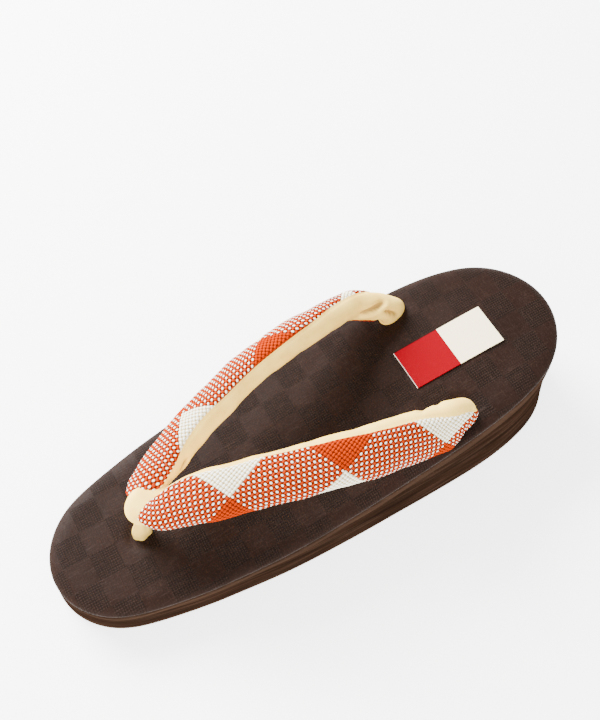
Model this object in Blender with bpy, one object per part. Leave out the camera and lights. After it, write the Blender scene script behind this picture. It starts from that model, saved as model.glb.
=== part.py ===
"""Zori sandal: a wedge sole, a rolled footbed cover, padded straps and a toe loop.

Metres, +Z up.  The origin is under the middle of the shoe, on the floor.
The toe points to -Y, the wearer's left is +X, and "along" runs from heel (0) to toe (1).
"""

import math
from collections import namedtuple

import bmesh
import bpy
import numpy as np

MM = 0.001

# Sole and footbed.
LENGTH = 240 * MM
WIDTH = 81.5 * MM
TOE_SHIFT = 2.2 * MM
HEEL_RIM = 46.3 * MM
TOE_RIM = 16.3 * MM
COVER_THICKNESS = 4.0 * MM
COVER_ROLL = 3.4 * MM
OUTSOLE_THICKNESS = 3.0 * MM
OUTSOLE_ROUND = 1.0 * MM
TOE_SPRING = 2.2 * MM
TOE_SPRING_START = 0.90
HEEL_FLARE = 3.0 * MM
TOE_FLARE = 0.8 * MM
BAND_PROUD = 0.5 * MM
BAND_SHARE = 0.20
BAND_GROOVE = 0.8 * MM
GAP = 0.3 * MM

# Straps: two padded tubes that cross over the toe loop.
CROSSING_ALONG = 0.825
CROSSING_X = 0.8 * MM
HOLE_ALONG = 0.256
HOLE_X = 28.0 * MM
STRAP_WIDTH = 20.6 * MM
STRAP_THICKNESS = 13.0 * MM
STRAP_RISE = 33.0 * MM
STRAP_SQUARENESS = 2.3
STRAP_DEPTH = 6.5 * MM
STRAP_NECK_WIDTH = 15.0 * MM
STRAP_NECK_THICKNESS = 11.0 * MM
STRAP_NECK_ABOVE = 2.0 * MM

# Toe loop.
LOOP_RISE = 31.0 * MM
LOOP_WIDTH = 15.0 * MM
LOOP_LENGTH = 16.0 * MM
LOOP_LEAN = 3.4 * MM
POST_ALONG = 0.831
POST_X = -1.7 * MM
POST_DIAMETER = 9.0 * MM
POST_DEPTH = 6.0 * MM

# Heel label.
LABEL_LENGTH = 42.5 * MM
LABEL_WIDTH = 20.0 * MM
LABEL_THICKNESS = 0.5 * MM
LABEL_ALONG = 0.2025
LABEL_X = -1.5 * MM

# Mesh fineness.
OUTLINE_POINTS = 72
SECTION_POINTS = 18
STEPS_PER_ROW = 4
LABEL_STEPS = 8

# Fullness of the outline: 1 is as full as an ellipse.
Fullness = namedtuple("Fullness", "along fullness")
OUTLINE = [
    Fullness(0.00, 2.18),
    Fullness(0.04, 2.04),
    Fullness(0.125, 1.60),
    Fullness(0.25, 1.22),
    Fullness(0.375, 1.04),
    Fullness(0.50, 1.00),
    Fullness(0.625, 1.03),
    Fullness(0.75, 1.09),
    Fullness(0.875, 1.32),
    Fullness(0.96, 1.73),
    Fullness(1.00, 1.90),
]

# Fall of the rim from heel to toe, as a share of the difference between both heights.
Rim = namedtuple("Rim", "along height")
RIM = [
    Rim(0.000, 1.00),
    Rim(0.125, 0.91),
    Rim(0.250, 0.745),
    Rim(0.375, 0.555),
    Rim(0.500, 0.365),
    Rim(0.625, 0.195),
    Rim(0.750, 0.066),
    Rim(0.875, 0.00),
    Rim(1.000, 0.005),
]

# Stations of a strap.  run is 0 at the crossing and 1 at the hole, out is a share of the
# way from the crossing to the hole, rise of STRAP_RISE, width and thick of the strap's own,
# and roll turns the woven face outwards, in degrees.
Station = namedtuple("Station", "run out rise roll width thick")
LEFT_STRAP = [
    Station(-0.027, 0.152, 0.76, 14, 0.218, 0.30),
    Station(0.009, 0.190, 0.82, 14, 0.573, 0.62),
    Station(0.055, 0.243, 0.89, 14, 0.779, 0.82),
    Station(0.110, 0.334, 0.96, 18, 0.882, 0.94),
    Station(0.190, 0.465, 1.00, 22, 0.962, 1.00),
    Station(0.295, 0.615, 0.98, 26, 0.962, 1.03),
    Station(0.500, 0.880, 0.90, 32, 0.974, 1.03),
    Station(0.670, 1.063, 0.74, 40, 1.020, 1.00),
    Station(0.865, 1.155, 0.49, 58, 1.020, 0.96),
    Station(0.933, 1.085, 0.34, 75, 1.020, 0.92),
    Station(0.977, 1.020, 0.20, 86, 0.939, 0.88),
]
RIGHT_STRAP = [
    Station(0.004, 0.125, 0.74, 15, 0.493, 0.48),
    Station(0.040, 0.176, 0.80, 17, 0.653, 0.66),
    Station(0.080, 0.239, 0.86, 22, 0.768, 0.82),
    Station(0.142, 0.361, 0.92, 28, 0.813, 0.94),
    Station(0.223, 0.510, 0.97, 34, 0.836, 1.00),
    Station(0.315, 0.662, 1.00, 39, 0.848, 1.03),
    Station(0.500, 0.910, 0.98, 47, 0.917, 1.03),
    Station(0.670, 1.067, 0.83, 54, 0.997, 1.00),
    Station(0.855, 1.215, 0.50, 66, 0.974, 0.96),
    Station(0.928, 1.160, 0.34, 76, 0.928, 0.92),
    Station(0.977, 1.070, 0.20, 86, 0.859, 0.88),
]

# Levels of the toe loop above the footbed: rise is a share of LOOP_RISE, lean of
# LOOP_LEAN, length and width of the loop's own sizes.  The post's levels come from its diameter.
Level = namedtuple("Level", "rise lean length width")
LOOP_LEVELS = [
    Level(0.44, 0.35, 0.62, 0.62),
    Level(0.60, 0.65, 0.84, 0.88),
    Level(0.76, 0.95, 1.00, 1.00),
    Level(0.90, 1.05, 0.90, 0.88),
    Level(0.975, 1.08, 0.62, 0.60),
    Level(1.00, 1.08, 0.20, 0.20),
]

# Plain colours, roughness and metallic of each piece.
Paint = namedtuple("Paint", "name colour roughness metallic")
COVER_PAINT = Paint("dark_brown_sheet", (0.060, 0.038, 0.030), 0.55, 0.0)
SOLE_PAINT = Paint("brown_foam", (0.110, 0.062, 0.038), 0.70, 0.0)
OUTSOLE_PAINT = Paint("brown_rubber", (0.075, 0.043, 0.028), 0.75, 0.0)
STRAP_PAINT = Paint("orange_white_weave", (0.80, 0.33, 0.13), 0.85, 0.0)
LOOP_PAINT = Paint("cream_velvet", (0.82, 0.72, 0.52), 0.90, 0.0)
LABEL_PAINT = Paint("label_card", (0.68, 0.20, 0.16), 0.50, 0.0)


def clear_scene():
    """Remove what the start-up scene holds."""
    for thing in list(bpy.data.objects):
        bpy.data.objects.remove(thing, do_unlink=True)


def new_collection(name):
    """Return a collection of that name in the scene."""
    collection = bpy.data.collections.new(name)
    bpy.context.scene.collection.children.link(collection)
    return collection


def smooth_curve(shares, xs, ys):
    """Read a smooth curve through the points (xs, ys) at each share.

    It is a cubic Hermite curve whose slopes are those of the parabola through
    each point and its two neighbours.
    """
    xs = np.asarray(xs, float)
    ys = np.asarray(ys, float)
    steps = np.diff(xs)
    slopes = np.diff(ys) / steps
    tangents = np.empty(len(xs))
    tangents[1:-1] = (slopes[:-1] * steps[1:] + slopes[1:] * steps[:-1]) / (steps[:-1] + steps[1:])
    tangents[0] = slopes[0]
    tangents[-1] = slopes[-1]
    shares = np.asarray(shares, float)
    cell = np.clip(np.searchsorted(xs, shares) - 1, 0, len(steps) - 1)
    t = (shares - xs[cell]) / steps[cell]
    step = steps[cell]
    return (
        (2 * t**3 - 3 * t**2 + 1) * ys[cell]
        + (t**3 - 2 * t**2 + t) * step * tangents[cell]
        + (3 * t**2 - 2 * t**3) * ys[cell + 1]
        + (t**3 - t**2) * step * tangents[cell + 1]
    )


def table_curve(shares, table, column):
    """Read one column of a table as a smooth curve over its first column."""
    return smooth_curve(shares, [row[0] for row in table], [getattr(row, column) for row in table])


def rim_height(along):
    """Height of the line where the cover meets the sole's side."""
    return TOE_RIM + (HEEL_RIM - TOE_RIM) * table_curve(along, RIM, "height")


def deck_height(along):
    """Height of the footbed's upper face."""
    return rim_height(along) + COVER_THICKNESS


def toe_spring(along):
    """Rise of the underside at the tip of the toe."""
    share = np.clip((np.asarray(along, float) - TOE_SPRING_START) / (1 - TOE_SPRING_START), 0, 1)
    return TOE_SPRING * share**2


def flare(along):
    """How far the bottom edge stands out past the rim."""
    along = np.asarray(along, float)
    return HEEL_FLARE * (1 - along) ** 3 + TOE_FLARE * along**6


def y_at(along):
    """Y of a share of the length, with the origin midway between the flared ends."""
    return LENGTH * (0.5 - along) - (HEEL_FLARE - TOE_FLARE) / 2


def middle_at(along):
    """X of the outline's middle line, which drifts towards one side at the toe."""
    return TOE_SHIFT * (np.asarray(along, float) ** 3 - 0.5**3)


def outline_shares():
    """Shares of the length and turns of the outline's points, even in angle."""
    turns = np.arange(OUTLINE_POINTS) * 2 * math.pi / OUTLINE_POINTS
    return (1 - np.cos(turns)) / 2, turns


def outline_ring(outset, heights):
    """One closed ring round the shoe, moved out along the outline's normal.

    Half the width is WIDTH / 2 times the sine of the turn times the root of the fullness.
    """
    along, turns = outline_shares()
    half = WIDTH / 2 * np.sqrt(table_curve(along, OUTLINE, "fullness"))
    points = np.column_stack([middle_at(along) + half * np.sin(turns), y_at(along)])
    tangent = np.roll(points, -1, axis=0) - np.roll(points, 1, axis=0)
    normal = np.column_stack([-tangent[:, 1], tangent[:, 0]])
    normal /= np.linalg.norm(normal, axis=1)[:, None]
    points = points + normal * np.broadcast_to(outset, len(points))[:, None]
    return np.column_stack([points, np.broadcast_to(heights, len(points))])


def make_object(name, points, faces, paint, collection):
    """Make a mesh object with its own material and outward faces."""
    mesh = bpy.data.meshes.new(name)
    mesh.from_pydata([tuple(point) for point in points], [], faces)
    cleaned = bmesh.new()
    cleaned.from_mesh(mesh)
    bmesh.ops.remove_doubles(cleaned, verts=cleaned.verts, dist=0.00001)
    bmesh.ops.recalc_face_normals(cleaned, faces=cleaned.faces)
    cleaned.to_mesh(mesh)
    cleaned.free()
    made = bpy.data.objects.new(name, mesh)
    collection.objects.link(made)
    if paint is not None:
        mesh.materials.append(make_material(paint))
    mesh.shade_smooth()
    mesh.set_sharp_from_angle(angle=math.radians(40))
    return made


def make_material(paint):
    """A Principled material with the piece's colour, roughness and metallic value."""
    material = bpy.data.materials.new(paint.name)
    material.use_nodes = True
    shader = material.node_tree.nodes["Principled BSDF"]
    shader.inputs["Base Color"].default_value = (*paint.colour, 1.0)
    shader.inputs["Roughness"].default_value = paint.roughness
    shader.inputs["Metallic"].default_value = paint.metallic
    return material


def slab_from_rings(name, rings, paint, collection):
    """A closed slab from rings stacked upwards, capped by strips across the shoe.

    A cap's strips join each point to the one opposite at the same share of the
    length, so they stay flat where the rim falls.
    """
    count = OUTLINE_POINTS
    points = np.concatenate(rings)
    faces = []
    for level in range(len(rings) - 1):
        for i in range(count):
            j = (i + 1) % count
            low = level * count
            faces.append((low + i, low + j, low + count + j, low + count + i))
    top = (len(rings) - 1) * count
    for i in range(count // 2):
        left, right = (count - i) % count, (count - i - 1) % count
        strip = [i, i + 1, right, left]
        if left == i:
            strip = [i, i + 1, right]
        if right == i + 1:
            strip = [i, i + 1, left]
        faces.append(tuple(reversed(strip)))
        faces.append(tuple(top + index for index in strip))
    return make_object(name, points, faces, paint, collection)


def make_outsole(collection):
    """Thin rubber sheet under the whole sole, with a rounded lower edge."""
    along, _ = outline_shares()
    spring = toe_spring(along)
    edge = flare(along)
    rings = [
        outline_ring(edge - OUTSOLE_ROUND, spring),
        outline_ring(edge - OUTSOLE_ROUND * 0.3, spring + OUTSOLE_ROUND * 0.3),
        outline_ring(edge, spring + OUTSOLE_ROUND),
        outline_ring(edge, spring + OUTSOLE_THICKNESS),
    ]
    return slab_from_rings("outsole", rings, OUTSOLE_PAINT, collection)


def make_sole_body(collection):
    """Foam wedge: a flared wall, a groove, and a proud band under the rim."""
    along, _ = outline_shares()
    bottom = toe_spring(along) + OUTSOLE_THICKNESS + GAP
    rim = rim_height(along)
    wall = rim - bottom
    edge = flare(along)
    band = rim - wall * BAND_SHARE
    rings = [
        outline_ring(edge, bottom),
        outline_ring(edge * 0.62, bottom + wall * 0.3),
        outline_ring(edge * 0.25, band - BAND_GROOVE),
        outline_ring(BAND_PROUD, band),
        outline_ring(BAND_PROUD, rim - BAND_PROUD),
        outline_ring(0, rim),
    ]
    return slab_from_rings("sole_body", rings, SOLE_PAINT, collection)


def make_top_cover(collection):
    """Padded footbed cover with a rolled edge."""
    along, _ = outline_shares()
    base = rim_height(along) + GAP
    thick = COVER_THICKNESS - GAP
    rings = [
        outline_ring(-0.30 * COVER_ROLL, base),
        outline_ring(-0.05 * COVER_ROLL, base + thick * 0.14),
        outline_ring(0.08 * COVER_ROLL, base + thick * 0.38),
        outline_ring(-0.04 * COVER_ROLL, base + thick * 0.64),
        outline_ring(-0.36 * COVER_ROLL, base + thick * 0.87),
        outline_ring(-COVER_ROLL, base + thick),
    ]
    return slab_from_rings("top_cover", rings, COVER_PAINT, collection)


def crossing_place():
    """The point on the footbed under the crossing of the straps."""
    return np.array([CROSSING_X, y_at(CROSSING_ALONG), float(deck_height(CROSSING_ALONG))])


def post_place():
    """Where the toe loop's post stands on the footbed."""
    return np.array([POST_X, y_at(POST_ALONG), float(deck_height(POST_ALONG))])


def hole_place(side):
    """Where a strap goes into the footbed, side +1 on the wearer's left."""
    return np.array([side * HOLE_X, y_at(HOLE_ALONG), float(deck_height(HOLE_ALONG))])


def strap_rows(side, table):
    """Centre points and sizes of a strap's stations, ending straight down in its hole.

    Returns points, rolls, widths and thicknesses, one row a station.
    """
    crossing = crossing_place()
    hole = hole_place(side)
    points = []
    for row in table:
        along = CROSSING_ALONG + (HOLE_ALONG - CROSSING_ALONG) * row.run
        x = crossing[0] + (hole[0] - crossing[0]) * row.out
        points.append([x, y_at(along), float(deck_height(along)) + STRAP_RISE * row.rise])
    rolls = [row.roll for row in table]
    widths = [row.width * STRAP_WIDTH for row in table]
    thicks = [row.thick * STRAP_THICKNESS for row in table]
    for drop in (-STRAP_NECK_ABOVE, STRAP_DEPTH * 0.5, STRAP_DEPTH):
        points.append([hole[0], hole[1], hole[2] - drop])
        rolls.append(90)
        widths.append(STRAP_NECK_WIDTH)
        thicks.append(STRAP_NECK_THICKNESS)
    return np.array(points), np.array(rolls, float), np.array(widths), np.array(thicks)


def superellipse(turns, half_width, half_thick):
    """Points of a rounded section, fuller than an ellipse."""
    power = 2 / STRAP_SQUARENESS
    across = np.sign(np.cos(turns)) * np.abs(np.cos(turns)) ** power * half_width
    up = np.sign(np.sin(turns)) * np.abs(np.sin(turns)) ** power * half_thick
    return across, up


def strap_sections(side, table, grow):
    """Sections of a strap along a smooth route, each grown by the same amount.

    A section's face points up at a roll of 0 and straight out at 90.  It stands
    square to the route.
    """
    points, rolls, widths, thicks = strap_rows(side, table)
    marks = np.arange(len(points), dtype=float)
    steps = np.linspace(0, len(points) - 1, (len(points) - 1) * STEPS_PER_ROW + 1)
    centres = np.column_stack([smooth_curve(steps, marks, points[:, axis]) for axis in range(3)])
    routes = np.gradient(centres, axis=0)
    routes /= np.linalg.norm(routes, axis=1)[:, None]
    roll = np.radians(smooth_curve(steps, marks, rolls))
    half_width = smooth_curve(steps, marks, widths) / 2 + grow
    half_thick = smooth_curve(steps, marks, thicks) / 2 + grow
    chord = hole_place(side) - crossing_place()
    outward = side * np.array([chord[1], -chord[0], 0.0]) * np.sign(chord[1])
    outward /= np.linalg.norm(outward)
    face = np.sin(roll)[:, None] * outward + np.cos(roll)[:, None] * np.array([0, 0, 1.0])
    face -= (face * routes).sum(axis=1)[:, None] * routes
    face /= np.linalg.norm(face, axis=1)[:, None]
    wide = side * np.cross(routes, face)
    turns = np.arange(SECTION_POINTS) * 2 * math.pi / SECTION_POINTS
    across, up = superellipse(turns[None, :], half_width[:, None], half_thick[:, None])
    return centres[:, None] + across[..., None] * wide[:, None] + up[..., None] * face[:, None]


def tube_from_sections(name, sections, paint, collection):
    """A closed tube through sections of equal count, with a fan at each end."""
    rows, count, _ = sections.shape
    points = sections.reshape(-1, 3).tolist()
    faces = []
    for row in range(rows - 1):
        for i in range(count):
            j = (i + 1) % count
            faces.append((row * count + i, row * count + j, (row + 1) * count + j, (row + 1) * count + i))
    for row in (0, rows - 1):
        middle = len(points)
        points.append(sections[row].mean(axis=0).tolist())
        for i in range(count):
            faces.append((row * count + i, row * count + (i + 1) % count, middle))
    return make_object(name, points, faces, paint, collection)


def loop_sections():
    """Level sections of the toe loop, from its post in the sole to its rounded top."""
    base = post_place()
    rise = [-POST_DEPTH, 0.0, LOOP_RISE * 0.26]
    lean = [0.0, 0.0, 0.10]
    length = [POST_DIAMETER] * 3
    width = [POST_DIAMETER] * 3
    for level in LOOP_LEVELS:
        rise.append(LOOP_RISE * level.rise)
        lean.append(level.lean)
        length.append(LOOP_LENGTH * level.length)
        width.append(LOOP_WIDTH * level.width)
    turns = np.arange(SECTION_POINTS) * 2 * math.pi / SECTION_POINTS
    sections = []
    for k in range(len(rise)):
        centre = base + np.array([0.0, LOOP_LEAN * lean[k], rise[k]])
        x = centre[0] + width[k] / 2 * np.cos(turns)
        y = centre[1] + length[k] / 2 * np.sin(turns)
        sections.append(np.column_stack([x, y, np.full(SECTION_POINTS, centre[2])]))
    return np.array(sections)


def cut(target, cutter, operation="DIFFERENCE"):
    """Put an exact Boolean modifier on the target."""
    modifier = target.modifiers.new(cutter.name, "BOOLEAN")
    modifier.object = cutter
    modifier.operation = operation
    modifier.solver = "EXACT"


def as_guide(thing):
    """Mark a cutter so that it is neither rendered nor built."""
    thing.hide_render = True
    thing.display_type = "WIRE"
    return thing


def make_straps(collection, cutters):
    """Both padded straps, the left one lying over the right one, as one solid."""
    left = tube_from_sections("straps", strap_sections(1, LEFT_STRAP, 0), STRAP_PAINT, collection)
    right = tube_from_sections("right_strap", strap_sections(-1, RIGHT_STRAP, 0), None, cutters)
    cut(left, as_guide(right), "UNION")
    return left


def strap_clearances(cutters):
    """Both straps grown by the gap, to cut what they touch."""
    return [
        as_guide(tube_from_sections(name, strap_sections(side, table, GAP), None, cutters))
        for name, side, table in (("left_clear", 1, LEFT_STRAP), ("right_clear", -1, RIGHT_STRAP))
    ]


def neck_clearances(cutters):
    """Straight pockets for the strap ends and the post, a gap wider and deeper than each."""
    turns = np.arange(SECTION_POINTS) * 2 * math.pi / SECTION_POINTS
    pockets = []
    for name, side in (("left_pocket", 1), ("right_pocket", -1)):
        place = hole_place(side)
        across, up = superellipse(turns, STRAP_NECK_WIDTH / 2 + GAP, STRAP_NECK_THICKNESS / 2 + GAP)
        rings = [
            np.column_stack([place[0] + up, place[1] + across, np.full(SECTION_POINTS, place[2] + height)])
            for height in (-STRAP_DEPTH - GAP, COVER_THICKNESS)
        ]
        pockets.append(as_guide(tube_from_sections(name, np.array(rings), None, cutters)))
    place = post_place()
    reach = POST_DIAMETER / 2 + GAP
    rings = [
        np.column_stack(
            [
                place[0] + reach * np.cos(turns),
                place[1] + reach * np.sin(turns),
                np.full(SECTION_POINTS, place[2] + height),
            ]
        )
        for height in (-POST_DEPTH - GAP, COVER_THICKNESS)
    ]
    pockets.append(as_guide(tube_from_sections("post_pocket", np.array(rings), None, cutters)))
    return pockets


def make_toe_post(collection):
    """The velvet toe loop: a post that widens into a hood over the right strap's end."""
    return tube_from_sections("toe_post", loop_sections(), LOOP_PAINT, collection)


def make_heel_label(collection):
    """A thin bare label that follows the footbed."""
    half = LABEL_LENGTH / LENGTH / 2
    along = np.linspace(LABEL_ALONG + half, LABEL_ALONG - half, LABEL_STEPS + 1)
    low = deck_height(along) + GAP
    sections = []
    for share, height in zip(along, low):
        left = LABEL_X - LABEL_WIDTH / 2
        right = LABEL_X + LABEL_WIDTH / 2
        y = y_at(share)
        top = height + LABEL_THICKNESS
        sections.append([[left, y, height], [right, y, height], [right, y, top], [left, y, top]])
    return tube_from_sections("heel_label", np.array(sections), LABEL_PAINT, collection)


def main():
    """Build the sandal."""
    clear_scene()
    sandal = new_collection("zori_sandal")
    cutters = new_collection("cutters")
    make_outsole(sandal)
    sole = make_sole_body(sandal)
    cover = make_top_cover(sandal)
    make_straps(sandal, cutters)
    loop = make_toe_post(sandal)
    make_heel_label(sandal)
    for pocket in neck_clearances(cutters):
        cut(sole, pocket)
        cut(cover, pocket)
    for clearance in strap_clearances(cutters):
        cut(loop, clearance)
        cut(sole, clearance)
        cut(cover, clearance)


main()
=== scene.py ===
"""Looks of a zori sandal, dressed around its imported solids.

Metres, +Z up.  The toe points to -Y and the wearer's left is +X.  "along" runs from
the heel (0) to the toe (1).  Each class holds one sub-assembly with its own sizes, and
each finish is a frozen dataclass that makes one material.
"""

import logging
import math
from dataclasses import dataclass, field
from enum import Enum
from typing import NamedTuple

import bmesh
import bpy
import numpy as np
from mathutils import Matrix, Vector


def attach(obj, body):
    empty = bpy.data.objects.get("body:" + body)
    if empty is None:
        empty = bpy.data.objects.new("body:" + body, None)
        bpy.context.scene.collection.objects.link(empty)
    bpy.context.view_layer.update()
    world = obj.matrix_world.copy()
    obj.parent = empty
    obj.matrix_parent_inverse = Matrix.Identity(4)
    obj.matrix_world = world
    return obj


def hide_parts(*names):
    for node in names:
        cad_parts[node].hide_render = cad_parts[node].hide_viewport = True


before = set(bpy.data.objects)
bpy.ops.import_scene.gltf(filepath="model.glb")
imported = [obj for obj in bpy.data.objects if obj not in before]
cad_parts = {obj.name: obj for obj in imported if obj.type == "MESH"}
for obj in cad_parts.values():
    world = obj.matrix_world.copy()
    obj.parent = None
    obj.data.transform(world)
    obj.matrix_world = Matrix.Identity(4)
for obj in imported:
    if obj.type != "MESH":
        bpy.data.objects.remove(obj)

LOG = logging.getLogger("zori")
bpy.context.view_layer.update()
MM = 0.001

Array = np.ndarray


class Side(Enum):
    """Which strap: the sign of its X."""

    LEFT = 1
    RIGHT = -1


class Share(NamedTuple):
    """One row of a curve over the shoe's length."""

    along: float
    value: float


class Station(NamedTuple):
    """One station of a strap, as shares of the strap's own sizes, roll in degrees."""

    run: float
    out: float
    rise: float
    roll: float
    width: float
    thick: float


class Level(NamedTuple):
    """One level of the toe loop, as shares of the loop's own sizes."""

    rise: float
    lean: float
    length: float
    width: float


class Crease(NamedTuple):
    """A soft fold on a strap, in millimetres on its skin.

    along is its distance from the crossing, around its distance from the woven face's
    middle line, and turn its angle to the strap in degrees.
    """

    along: float
    around: float
    turn: float
    length: float
    width: float
    depth: float


def table(kind: type, *rows: tuple[float, ...]) -> tuple:
    """Rows of a short table, as named tuples of one kind."""
    return tuple(kind(*row) for row in rows)


def smooth_curve(shares: Array, xs: Array, ys: Array) -> Array:
    """Read a smooth curve through the points (xs, ys).

    It is a cubic Hermite curve whose slope at each point is that of the parabola
    through the point and its two neighbours.

    Args:
        shares: places to read.
        xs: rising places of the points.
        ys: values at the points.

    Returns:
        The curve's value at each share.
    """
    xs = np.asarray(xs, float)
    ys = np.asarray(ys, float)
    steps = np.diff(xs)
    slopes = np.diff(ys) / steps
    tangents = np.empty(len(xs))
    tangents[1:-1] = (slopes[:-1] * steps[1:] + slopes[1:] * steps[:-1]) / (steps[:-1] + steps[1:])
    tangents[0] = slopes[0]
    tangents[-1] = slopes[-1]
    shares = np.asarray(shares, float)
    cell = np.clip(np.searchsorted(xs, shares) - 1, 0, len(steps) - 1)
    t = np.clip((shares - xs[cell]) / steps[cell], 0, 1)
    step = steps[cell]
    return (
        (2 * t**3 - 3 * t**2 + 1) * ys[cell]
        + (t**3 - 2 * t**2 + t) * step * tangents[cell]
        + (3 * t**2 - 2 * t**3) * ys[cell + 1]
        + (t**3 - t**2) * step * tangents[cell + 1]
    )


def smooth_step(low: float, high: float, values: Array) -> Array:
    """Rise from 0 at low to 1 at high along 3t squared minus 2t cubed."""
    t = np.clip((np.asarray(values, float) - low) / (high - low), 0, 1)
    return t * t * (3 - 2 * t)


def read(curve: tuple[Share, ...], shares: Array | float) -> Array:
    """Read a table of shares as a smooth curve."""
    return smooth_curve(shares, [row.along for row in curve], [row.value for row in curve])


def bell(values: Array | float, power: int = 2) -> Array | float:
    """Bell curve: e to the power of minus the value's own power."""
    return np.exp(-(values**power))


def ripple(values: Array, waves: tuple[tuple[float, float, float], ...]) -> Array:
    """Sum of sines, each row giving wave length, height and phase."""
    return sum(height * np.sin(2 * math.pi * values / length + phase) for length, height, phase in waves)


@dataclass
class GridSkin:
    """A mesh grid of rows by columns, each row a closed ring, with its UV map and attributes."""

    name: str
    points: Array
    uv: Array | None = None
    attributes: dict[str, Array] = field(default_factory=dict)
    caps: bool = False
    merge: bool = False

    def faces(self) -> Array:
        """Quads of the grid, row by row.

        Returns:
            Four vertex numbers for each quad.
        """
        rows, columns = self.points.shape[:2]
        row, column = np.meshgrid(np.arange(rows - 1), np.arange(columns), indexing="ij")
        right = (column + 1) % columns
        near, far = row * columns, (row + 1) * columns
        return np.stack([near + column, near + right, far + right, far + column], axis=-1).reshape(-1, 4)

    def face_uv(self) -> Array:
        """UV of each quad's corners.

        Returns:
            One row for each corner, in the quads' order.
        """
        closed = np.concatenate([self.uv, self.uv[:, :1]], axis=1)
        corners = [closed[:-1, :-1], closed[:-1, 1:], closed[1:, 1:], closed[1:, :-1]]
        return np.stack(corners, axis=2).reshape(-1, 2)

    def build(self) -> bpy.types.Object:
        """Make the object at the origin, with faces outwards.

        Returns:
            The new object, linked to the scene.
        """
        rows, columns = self.points.shape[:2]
        mesh = bpy.data.meshes.new(self.name)
        mesh.from_pydata(self.points.reshape(-1, 3).tolist(), [], self.faces().tolist())
        if self.uv is not None:
            layer = mesh.uv_layers.new(name="UVMap")
            layer.data.foreach_set("uv", self.face_uv().ravel().astype(np.float32))
        for name, values in self.attributes.items():
            spread = np.broadcast_to(values, (rows, columns)).astype(np.float32).ravel()
            mesh.attributes.new(name, "FLOAT", "POINT").data.foreach_set("value", spread)
        made = bpy.data.objects.new(self.name, mesh)
        bpy.context.scene.collection.objects.link(made)
        self.tidy(mesh, rows, columns)
        mesh.shade_smooth()
        return made

    def tidy(self, mesh: bpy.types.Mesh, rows: int, columns: int) -> None:
        """Close the ends, merge doubles and turn the faces outwards.

        Args:
            mesh: the mesh just filled.
            rows: the grid's rows.
            columns: the grid's columns.
        """
        work = bmesh.new()
        work.from_mesh(mesh)
        work.verts.ensure_lookup_table()
        if self.caps:
            rings = [[work.verts[row * columns + k] for k in range(columns)] for row in (0, rows - 1)]
            for ring in rings:
                centre = work.verts.new(sum((v.co for v in ring), Vector()) / columns)
                for k in range(columns):
                    work.faces.new((ring[k], ring[(k + 1) % columns], centre))
        if self.merge:
            bmesh.ops.remove_doubles(work, verts=work.verts, dist=0.02 * MM)
            bmesh.ops.dissolve_degenerate(work, edges=work.edges, dist=0.01 * MM)
        bmesh.ops.recalc_face_normals(work, faces=work.faces)
        work.to_mesh(mesh)
        work.free()


@dataclass
class RingStack:
    """Rings from the middle over the edge and back to the middle, each with one value for its finish."""

    rings: list[Array] = field(default_factory=list)
    values: list[float] = field(default_factory=list)

    def add(self, ring: Array, height: Array, value: float = 0.0) -> None:
        """Add a ring.

        Args:
            ring: its X and Y columns.
            height: its Z.
            value: what its finish reads.
        """
        self.rings.append(np.column_stack([ring, height]))
        self.values.append(value)

    def build(self, name: str, attribute: str) -> bpy.types.Object:
        """Make the closed skin, with the values as an attribute."""
        values = {attribute: np.array(self.values)[:, None]}
        return GridSkin(name, np.array(self.rings), attributes=values, merge=True).build()


def to_linear(code: str) -> tuple[float, float, float, float]:
    """Turn an sRGB hex colour into linear values.

    Args:
        code: the colour, such as #ffffff.

    Returns:
        Linear red, green, blue and alpha.
    """
    parts = [int(code[k : k + 2], 16) / 255 for k in (1, 3, 5)]
    red, green, blue = (c / 12.92 if c <= 0.04045 else ((c + 0.055) / 1.055) ** 2.4 for c in parts)
    return (red, green, blue, 1.0)


def add_node(
    tree: bpy.types.NodeTree, kind: str, inputs: tuple | dict = (), out: int | str = 0, **settings: object
) -> bpy.types.NodeSocket:
    """Add a node, set its properties, and set or link its inputs.

    Args:
        tree: the material's node tree.
        kind: the node's type, without the prefix that all share.
        inputs: values or output sockets for the first inputs, or by input name or number.
        out: name or number of the output wanted.
        settings: properties of the node.

    Returns:
        The output socket.
    """
    node = tree.nodes.new("ShaderNode" + kind)
    for name, value in settings.items():
        setattr(node, name, value)
    for key, value in (inputs if isinstance(inputs, dict) else dict(enumerate(inputs))).items():
        if isinstance(value, bpy.types.NodeSocket):
            tree.links.new(value, node.inputs[key])
        else:
            node.inputs[key].default_value = value
    return node.outputs[out]


class Tint(NamedTuple):
    """A colour laid over what is below, as far as a value has gone from low to high."""

    value: bpy.types.NodeSocket
    colour: str | bpy.types.NodeSocket
    amount: float = 1.0
    low: float = 0.0
    high: float = 1.0


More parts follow.
